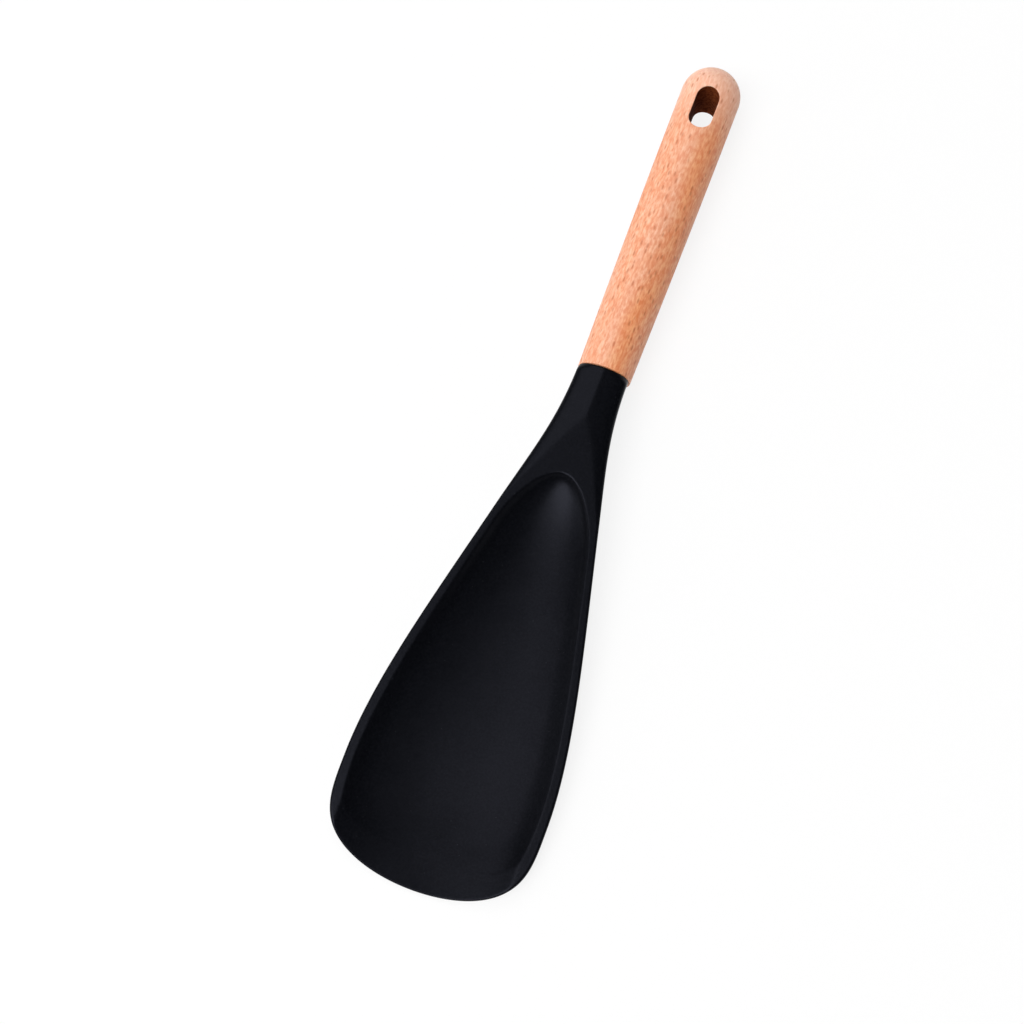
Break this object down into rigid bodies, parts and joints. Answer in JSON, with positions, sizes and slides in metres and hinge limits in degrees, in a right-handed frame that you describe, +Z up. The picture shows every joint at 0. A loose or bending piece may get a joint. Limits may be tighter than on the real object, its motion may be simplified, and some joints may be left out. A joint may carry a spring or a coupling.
{
  "type": "spoon spatula",
  "caption": "Spoon spatula: a scooped silicone blade with a gabled neck on a turned beech handle with a hanging slot, for scooping, turning and scraping food.",
  "frame": {"origin": "middle of the bounding box, on the surface that the spatula lies on, scoop up", "axes": "+Y along the handle from the blade to the hanging end, +Z up out of the scoop, +X across the blade"},
  "size_m": [0.0746, 0.3234, 0.0224],
  "materials": {
    "beech": "sanded and lightly oiled, satin",
    "epoxy": "cured clear amber resin",
    "shank_steel": "turned stainless rod",
    "plate_steel": "pressed stainless sheet",
    "silicone": "moulded black silicone, fine satin texture"
  },
  "bodies": {
    "root": {"beech_handle": "beech", "epoxy_plug": "epoxy", "core_shank": "shank_steel", "core_plate": "plate_steel", "silicone_head": "silicone"}
  },
  "joints": []
}
